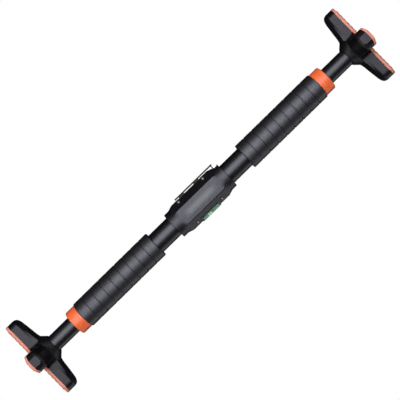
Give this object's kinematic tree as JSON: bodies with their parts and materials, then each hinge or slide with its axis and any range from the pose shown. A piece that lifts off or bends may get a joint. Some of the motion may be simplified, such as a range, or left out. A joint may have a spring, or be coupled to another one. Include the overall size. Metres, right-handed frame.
{
  "type": "doorway pull-up bar",
  "caption": "Telescopic doorway pull-up bar: foam grips, a centre housing with a lock lever and a spirit level, screw-out legs and four-armed end feet with rubber pads.",
  "frame": {"origin": "the middle of the bar's axis, halfway between the two pad faces", "axes": "+X along the bar, +Z towards the lock lever, -Y out of the front of the centre housing, where the level is read"},
  "size_m": [0.717, 0.14, 0.14],
  "materials": {
    "tube_paint": "satin black powder coat on steel tube",
    "foam": "matte charcoal closed-cell foam with narrow grooves",
    "orange_plastic": "satin orange moulded plastic",
    "black_plastic": "satin charcoal moulded plastic",
    "pad_rubber": "matte salmon-orange rubber, ribbed",
    "steel": "zinc-plated steel",
    "dark_steel": "blackened spring steel",
    "white_plastic": "natural acetal bearing plastic",
    "vial_clear": "clear acrylic, green tint",
    "vial_fluid": "green level fluid"
  },
  "bodies": {
    "barrel": {"outer_tube": "tube_paint", "centre_spacer": "white_plastic", "front_cover": "black_plastic", "rear_cover": "black_plastic", "lock_guide": "black_plastic", "lever_bracket": "steel", "lever_spring": "steel", "lever_hinge_pin": "steel", "level_vial": "vial_clear", "level_fluid": "vial_fluid", "level_plug_left": "black_plastic", "level_plug_right": "black_plastic", "cover_screw_1": "steel", "cover_screw_2": "steel", "cover_screw_3": "steel", "cover_screw_4": "steel", "bearing_left": "white_plastic", "bearing_right": "white_plastic", "thread_bush_left": "steel", "thread_bush_right": "steel", "collar_left": "orange_plastic", "collar_right": "orange_plastic", "grip_left": "foam", "grip_right": "foam"},
    "lever": {"lock_lever": "dark_steel", "lock_pin_left": "steel", "lock_pin_right": "steel"},
    "block_left": {"brake_block_left": "black_plastic"},
    "block_right": {"brake_block_right": "black_plastic"},
    "core_left": {"brake_drum_left": "steel", "key_bar_left": "steel", "thrust_washer_left": "steel", "circlip_left": "dark_steel"},
    "leg_left": {"inner_tube_left": "tube_paint", "key_bush_left": "white_plastic", "tube_plug_left": "steel", "foot_left": "black_plastic", "foot_washer_left": "steel", "foot_bolt_left": "steel", "foot_pad_left": "pad_rubber"},
    "core_right": {"brake_drum_right": "steel", "key_bar_right": "steel", "thrust_washer_right": "steel", "circlip_right": "dark_steel"},
    "leg_right": {"inner_tube_right": "tube_paint", "key_bush_right": "white_plastic", "tube_plug_right": "steel", "foot_right": "black_plastic", "foot_washer_right": "steel", "foot_bolt_right": "steel", "foot_pad_right": "pad_rubber"}
  },
  "joints": [
    {"name": "lever_hinge", "type": "hinge", "parent": "barrel", "child": "lever", "pos_m": [0.0524, 0, 0.022], "axis": [0, 1, 0], "range_deg": [0, 5]},
    {"name": "block_lift_left", "type": "slide", "parent": "barrel", "child": "block_left", "axis": [0, 0, 1], "range_m": [0, 0.006]},
    {"name": "block_lift_right", "type": "slide", "parent": "barrel", "child": "block_right", "axis": [0, 0, 1], "range_m": [0, 0.0033]},
    {"name": "leg_turn_left", "type": "hinge", "parent": "barrel", "child": "core_left", "pos_m": [0, 0, 0], "axis": [1, 0, 0], "range_deg": [0, 9000]},
    {"name": "leg_extend_left", "type": "slide", "parent": "core_left", "child": "leg_left", "axis": [-1, 0, 0], "range_m": [0, 0.1251]},
    {"name": "leg_turn_right", "type": "hinge", "parent": "barrel", "child": "core_right", "pos_m": [0, 0, 0], "axis": [1, 0, 0], "range_deg": [0, 9000]},
    {"name": "leg_extend_right", "type": "slide", "parent": "core_right", "child": "leg_right", "axis": [1, 0, 0], "range_m": [0, 0.1251]}
  ],
  "couplings": [
    {"joint": "block_lift_left", "follows": "lever_hinge", "m_per_rad": 0.06815},
    {"joint": "block_lift_right", "follows": "lever_hinge", "m_per_rad": 0.03665},
    {"joint": "leg_extend_left", "follows": "leg_turn_left", "m_per_rad": 0.00079577},
    {"joint": "leg_extend_right", "follows": "leg_turn_right", "m_per_rad": 0.00079577}
  ]
}
